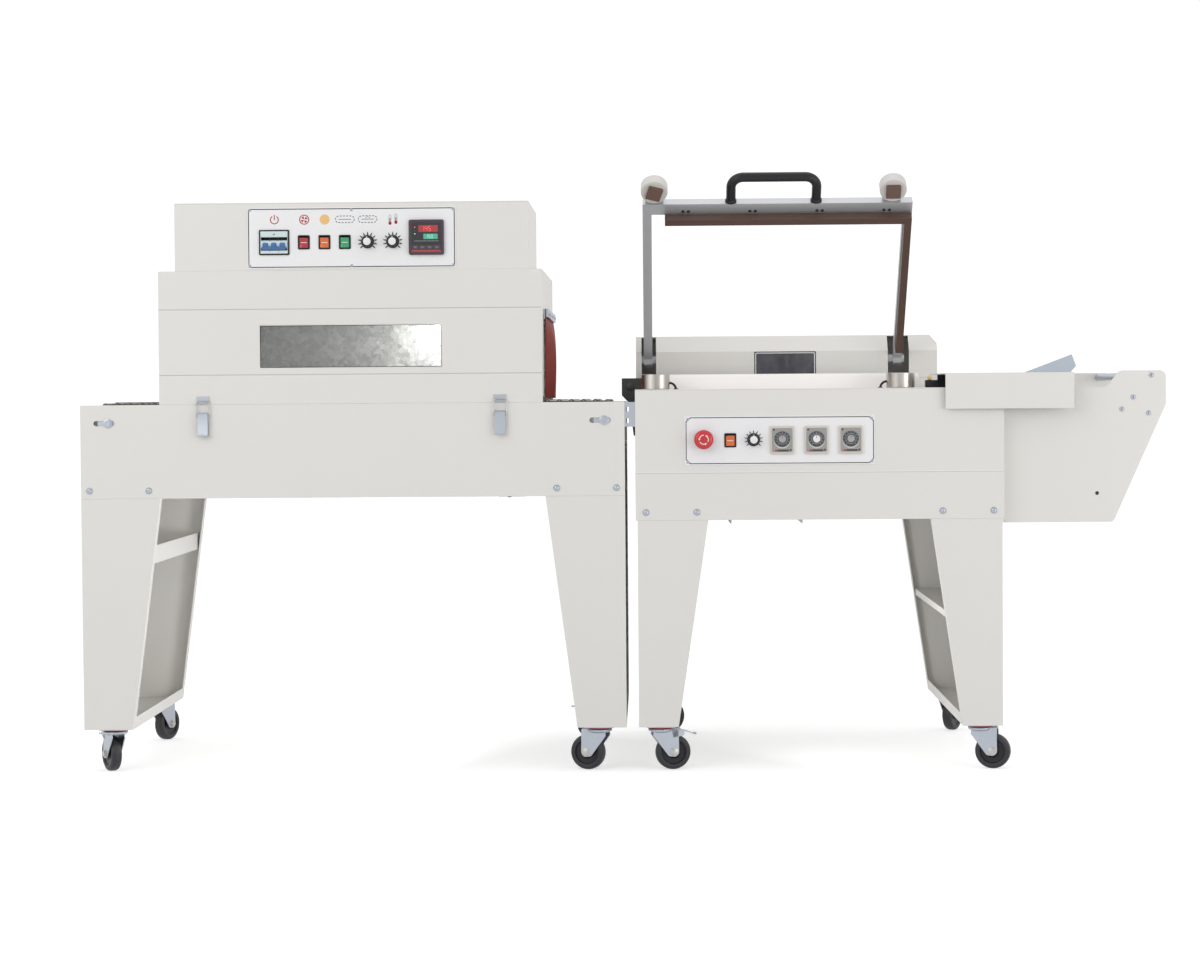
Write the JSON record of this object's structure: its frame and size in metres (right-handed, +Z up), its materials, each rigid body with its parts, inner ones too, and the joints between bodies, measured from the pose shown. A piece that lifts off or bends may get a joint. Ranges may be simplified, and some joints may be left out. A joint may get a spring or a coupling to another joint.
{
  "type": "shrink wrapping machine",
  "caption": "Film sealer with a swing-down L-shaped jaw and film cradle, joined in line to a heated shrink tunnel with a roller-bar conveyor, both on castered leg frames.",
  "frame": {"origin": "on the floor under the middle of the line's overall box", "axes": "+X to the right along the line, from the tunnel to the sealer's film cradle; +Y to the rear; +Z up"},
  "size_m": [2.29, 0.7855, 1.2799],
  "materials": {
    "painted_sheet": "smooth off-white powder coat",
    "galvanised_sheet": "spangled zinc coated sheet",
    "dark_steel": "dark oiled steel",
    "bright_steel": "machined steel",
    "zinc_steel": "bluish zinc plate",
    "aluminium_bar": "satin anodised",
    "clear_glass": "clear toughened glass",
    "red_silicone": "matt dark red silicone sheet",
    "fascia_film": "satin silver white panel film",
    "black_plastic": "fine texture black plastic",
    "timer_plastic": "dark grey moulded plastic",
    "brown_ptfe": "brown non-stick coated bar",
    "white_belt": "white woven-back conveyor belt",
    "red_plastic": "glossy red plastic",
    "orange_plastic": "glossy orange plastic",
    "green_plastic": "glossy green plastic",
    "blue_plastic": "glossy blue plastic",
    "black_rubber": "hard black rubber tread"
  },
  "bodies": {
    "frame": {"tunnel_bed": "painted_sheet", "leg_frames": "painted_sheet", "tunnel_hood": "painted_sheet", "heating_chamber": "galvanised_sheet", "hood_window": "clear_glass", "exit_curtains": "red_silicone", "roller_conveyor": "dark_steel", "fascia_plates": "fascia_film", "panel_instruments": "black_plastic", "steel_fittings": "zinc_steel", "sealer_body": "painted_sheet", "seal_base": "bright_steel", "rear_cover": "painted_sheet", "belt_conveyor": "white_belt", "film_cradle": "painted_sheet"},
    "tunnel_front_left_caster": {"tunnel_front_left_caster_fork": "zinc_steel"},
    "tunnel_front_left_wheel": {"tunnel_front_left_caster_wheel": "black_rubber"},
    "tunnel_front_left_brake": {"tunnel_front_left_brake_pedal": "zinc_steel"},
    "tunnel_front_right_caster": {"tunnel_front_right_caster_fork": "zinc_steel"},
    "tunnel_front_right_wheel": {"tunnel_front_right_caster_wheel": "black_rubber"},
    "tunnel_rear_left_caster": {"tunnel_rear_left_caster_fork": "zinc_steel"},
    "tunnel_rear_left_wheel": {"tunnel_rear_left_caster_wheel": "black_rubber"},
    "tunnel_rear_right_caster": {"tunnel_rear_right_caster_fork": "zinc_steel"},
    "tunnel_rear_right_wheel": {"tunnel_rear_right_caster_wheel": "black_rubber"},
    "tunnel_rear_right_brake": {"tunnel_rear_right_brake_pedal": "zinc_steel"},
    "sealer_front_left_caster": {"sealer_front_left_caster_fork": "zinc_steel"},
    "sealer_front_left_wheel": {"sealer_front_left_caster_wheel": "black_rubber"},
    "sealer_front_left_brake": {"sealer_front_left_brake_pedal": "zinc_steel"},
    "sealer_front_right_caster": {"sealer_front_right_caster_fork": "zinc_steel"},
    "sealer_front_right_wheel": {"sealer_front_right_caster_wheel": "black_rubber"},
    "sealer_rear_left_caster": {"sealer_rear_left_caster_fork": "zinc_steel"},
    "sealer_rear_left_wheel": {"sealer_rear_left_caster_wheel": "black_rubber"},
    "sealer_rear_right_caster": {"sealer_rear_right_caster_fork": "zinc_steel"},
    "sealer_rear_right_wheel": {"sealer_rear_right_caster_wheel": "black_rubber"},
    "jaw": {"jaw_frame": "aluminium_bar", "seal_bar": "brown_ptfe", "jaw_handle": "black_plastic"},
    "breaker_lever_body": {"breaker_lever": "blue_plastic"},
    "heater_rocker_body": {"heater_rocker": "red_plastic"},
    "fan_rocker_body": {"fan_rocker": "orange_plastic"},
    "conveyor_rocker_body": {"conveyor_rocker": "green_plastic"},
    "belt_speed_knob_body": {"belt_speed_knob": "black_plastic"},
    "fan_speed_knob_body": {"fan_speed_knob": "black_plastic"},
    "estop_body": {"estop_button": "red_plastic"},
    "power_rocker_body": {"power_rocker": "orange_plastic"},
    "seal_power_knob_body": {"seal_power_knob": "black_plastic"},
    "seal_timer_dial_body": {"seal_timer_dial": "timer_plastic"},
    "cool_timer_dial_body": {"cool_timer_dial": "timer_plastic"},
    "feed_timer_dial_body": {"feed_timer_dial": "timer_plastic"},
    "left_latch": {"left_latch_lever": "bright_steel"},
    "left_bail": {"left_latch_bail": "bright_steel"},
    "right_latch": {"right_latch_lever": "bright_steel"},
    "right_bail": {"right_latch_bail": "bright_steel"},
    "drive": {"drive_shaft": "bright_steel"},
    "idler": {"idler_shaft": "bright_steel"},
    "belt_drive": {"belt_drive_roller": "aluminium_bar"},
    "belt_tail": {"belt_tail_roller": "aluminium_bar"},
    "film_roller_inner_body": {"film_roller_inner": "aluminium_bar"},
    "film_roller_outer_body": {"film_roller_outer": "aluminium_bar"},
    "fan": {"fan_impeller": "galvanised_sheet"}
  },
  "joints": [
    {"name": "tunnel_front_left_swivel", "type": "hinge", "parent": "frame", "child": "tunnel_front_left_caster", "pos_m": [-1.088, -0.325, 0.0883], "axis": [0, 0, 1], "continuous": true},
    {"name": "tunnel_front_left_roll", "type": "hinge", "parent": "tunnel_front_left_caster", "child": "tunnel_front_left_wheel", "pos_m": [-1.101, -0.30248, 0.0375], "axis": [-0.866, -0.5, 0], "continuous": true},
    {"name": "tunnel_front_left_brake_press", "type": "hinge", "parent": "tunnel_front_left_caster", "child": "tunnel_front_left_brake", "pos_m": [-1.11, -0.2869, 0.079], "axis": [-0.866, -0.5, 0], "range_deg": [0, 10]},
    {"name": "tunnel_front_right_swivel", "type": "hinge", "parent": "frame", "child": "tunnel_front_right_caster", "pos_m": [-0.054, -0.325, 0.0883], "axis": [0, 0, 1], "continuous": true},
    {"name": "tunnel_front_right_roll", "type": "hinge", "parent": "tunnel_front_right_caster", "child": "tunnel_front_right_wheel", "pos_m": [-0.07843, -0.31611, 0.0375], "axis": [-0.342, -0.9397, 0], "continuous": true},
    {"name": "tunnel_rear_left_swivel", "type": "hinge", "parent": "frame", "child": "tunnel_rear_left_caster", "pos_m": [-1.088, 0.215, 0.0883], "axis": [0, 0, 1], "continuous": true},
    {"name": "tunnel_rear_left_roll", "type": "hinge", "parent": "tunnel_rear_left_caster", "child": "tunnel_rear_left_wheel", "pos_m": [-1.07701, 0.23856, 0.0375], "axis": [-0.9063, 0.4226, 0], "continuous": true},
    {"name": "tunnel_rear_right_swivel", "type": "hinge", "parent": "frame", "child": "tunnel_rear_right_caster", "pos_m": [-0.054, 0.215, 0.0883], "axis": [0, 0, 1], "continuous": true},
    {"name": "tunnel_rear_right_roll", "type": "hinge", "parent": "tunnel_rear_right_caster", "child": "tunnel_rear_right_wheel", "pos_m": [-0.08, 0.215, 0.0375], "axis": [0, -1, 0], "continuous": true},
    {"name": "tunnel_rear_right_brake_press", "type": "hinge", "parent": "tunnel_rear_right_caster", "child": "tunnel_rear_right_brake", "pos_m": [-0.098, 0.215, 0.079], "axis": [0, -1, 0], "range_deg": [0, 10]},
    {"name": "sealer_front_left_swivel", "type": "hinge", "parent": "frame", "child": "sealer_front_left_caster", "pos_m": [0.076, -0.325, 0.0883], "axis": [0, 0, 1], "continuous": true},
    {"name": "sealer_front_left_roll", "type": "hinge", "parent": "sealer_front_left_caster", "child": "sealer_front_left_wheel", "pos_m": [0.10161, -0.32049, 0.0375], "axis": [-0.1736, 0.9848, 0], "continuous": true},
    {"name": "sealer_front_left_brake_press", "type": "hinge", "parent": "sealer_front_left_caster", "child": "sealer_front_left_brake", "pos_m": [0.11933, -0.31736, 0.079], "axis": [-0.1736, 0.9848, 0], "range_deg": [0, 10]},
    {"name": "sealer_front_right_swivel", "type": "hinge", "parent": "frame", "child": "sealer_front_right_caster", "pos_m": [0.755, -0.325, 0.0883], "axis": [0, 0, 1], "continuous": true},
    {"name": "sealer_front_right_roll", "type": "hinge", "parent": "sealer_front_right_caster", "child": "sealer_front_right_wheel", "pos_m": [0.78011, -0.33173, 0.0375], "axis": [0.2588, 0.9659, 0], "continuous": true},
    {"name": "sealer_rear_left_swivel", "type": "hinge", "parent": "frame", "child": "sealer_rear_left_caster", "pos_m": [0.076, 0.325, 0.0883], "axis": [0, 0, 1], "continuous": true},
    {"name": "sealer_rear_left_roll", "type": "hinge", "parent": "sealer_rear_left_caster", "child": "sealer_rear_left_wheel", "pos_m": [0.09852, 0.338, 0.0375], "axis": [-0.5, 0.866, 0], "continuous": true},
    {"name": "sealer_rear_right_swivel", "type": "hinge", "parent": "frame", "child": "sealer_rear_right_caster", "pos_m": [0.755, 0.325, 0.0883], "axis": [0, 0, 1], "continuous": true},
    {"name": "sealer_rear_right_roll", "type": "hinge", "parent": "sealer_rear_right_caster", "child": "sealer_rear_right_wheel", "pos_m": [0.768, 0.34752, 0.0375], "axis": [-0.866, 0.5, 0], "continuous": true},
    {"name": "jaw_hinge", "type": "hinge", "parent": "frame", "child": "jaw", "pos_m": [0, 0.19, 0.8765], "axis": [1, 0, 0], "range_deg": [0, 50], "stiffness_Nm_per_rad": 6.5, "springref_deg": -85.94},
    {"name": "breaker_lever_throw", "type": "hinge", "parent": "frame", "child": "breaker_lever_body", "pos_m": [-0.731, -0.3655, 1.119], "axis": [-1, 0, 0], "range_deg": [0, 60]},
    {"name": "heater_rocker_tilt", "type": "hinge", "parent": "frame", "child": "heater_rocker_body", "pos_m": [-0.6685, -0.3655, 1.123], "axis": [-1, 0, 0], "range_deg": [0, 24]},
    {"name": "fan_rocker_tilt", "type": "hinge", "parent": "frame", "child": "fan_rocker_body", "pos_m": [-0.625, -0.3655, 1.123], "axis": [-1, 0, 0], "range_deg": [0, 24]},
    {"name": "conveyor_rocker_tilt", "type": "hinge", "parent": "frame", "child": "conveyor_rocker_body", "pos_m": [-0.582, -0.3655, 1.123], "axis": [-1, 0, 0], "range_deg": [0, 24]},
    {"name": "belt_speed_knob_turn", "type": "hinge", "parent": "frame", "child": "belt_speed_knob_body", "pos_m": [-0.534, -0.3675, 1.123], "axis": [0, -1, 0], "range_deg": [-135, 135]},
    {"name": "fan_speed_knob_turn", "type": "hinge", "parent": "frame", "child": "fan_speed_knob_body", "pos_m": [-0.481, -0.3675, 1.123], "axis": [0, -1, 0], "range_deg": [-135, 135]},
    {"name": "estop_press", "type": "slide", "parent": "frame", "child": "estop_body", "axis": [0, 1, 0], "range_m": [0, 0.005]},
    {"name": "power_rocker_tilt", "type": "hinge", "parent": "frame", "child": "power_rocker_body", "pos_m": [0.226, -0.3695, 0.7], "axis": [-1, 0, 0], "range_deg": [0, 24]},
    {"name": "seal_power_knob_turn", "type": "hinge", "parent": "frame", "child": "seal_power_knob_body", "pos_m": [0.275, -0.3715, 0.701], "axis": [0, -1, 0], "range_deg": [-135, 135]},
    {"name": "seal_timer_dial_turn", "type": "hinge", "parent": "frame", "child": "seal_timer_dial_body", "pos_m": [0.335, -0.3715, 0.702], "axis": [0, -1, 0], "range_deg": [-140, 140]},
    {"name": "cool_timer_dial_turn", "type": "hinge", "parent": "frame", "child": "cool_timer_dial_body", "pos_m": [0.407, -0.3715, 0.702], "axis": [0, -1, 0], "range_deg": [-140, 140]},
    {"name": "feed_timer_dial_turn", "type": "hinge", "parent": "frame", "child": "feed_timer_dial_body", "pos_m": [0.479, -0.3715, 0.702], "axis": [0, -1, 0], "range_deg": [-140, 140]},
    {"name": "left_latch_throw", "type": "hinge", "parent": "frame", "child": "left_latch", "pos_m": [-0.885, -0.376, 0.762], "axis": [-1, 0, 0], "range_deg": [0, 120]},
    {"name": "left_bail_swing", "type": "hinge", "parent": "left_latch", "child": "left_bail", "pos_m": [-0.885, -0.376, 0.754], "axis": [-1, 0, 0], "range_deg": [-144, 0]},
    {"name": "right_latch_throw", "type": "hinge", "parent": "frame", "child": "right_latch", "pos_m": [-0.258, -0.376, 0.762], "axis": [-1, 0, 0], "range_deg": [0, 120]},
    {"name": "right_bail_swing", "type": "hinge", "parent": "right_latch", "child": "right_bail", "pos_m": [-0.258, -0.376, 0.754], "axis": [-1, 0, 0], "range_deg": [-144, 0]},
    {"name": "drive_shaft_turn", "type": "hinge", "parent": "frame", "child": "drive", "pos_m": [-0.03925, -0.37, 0.74442], "axis": [0, 1, 0], "continuous": true},
    {"name": "idler_shaft_turn", "type": "hinge", "parent": "frame", "child": "idler", "pos_m": [-1.087, -0.37, 0.74442], "axis": [0, 1, 0], "continuous": true},
    {"name": "belt_drive_turn", "type": "hinge", "parent": "frame", "child": "belt_drive", "pos_m": [0.585, -0.215, 0.815], "axis": [0, 1, 0], "continuous": true},
    {"name": "belt_tail_turn", "type": "hinge", "parent": "frame", "child": "belt_tail", "pos_m": [0.016, -0.215, 0.815], "axis": [0, 1, 0], "continuous": true},
    {"name": "film_roller_inner_turn", "type": "hinge", "parent": "frame", "child": "film_roller_inner_body", "pos_m": [0.862, -0.345, 0.583], "axis": [0, 1, 0], "continuous": true},
    {"name": "film_roller_outer_turn", "type": "hinge", "parent": "frame", "child": "film_roller_outer_body", "pos_m": [0.999, -0.345, 0.583], "axis": [0, 1, 0], "continuous": true},
    {"name": "fan_turn", "type": "hinge", "parent": "frame", "child": "fan", "pos_m": [-0.573, -0.055, 1.064], "axis": [0, 0, 1], "continuous": true}
  ],
  "couplings": [
    {"joint": "left_bail_swing", "follows": "left_latch_throw", "ratio": -1.2},
    {"joint": "right_bail_swing", "follows": "right_latch_throw", "ratio": -1.2},
    {"joint": "idler_shaft_turn", "follows": "drive_shaft_turn", "ratio": 1},
    {"joint": "belt_tail_turn", "follows": "belt_drive_turn", "ratio": 1}
  ]
}
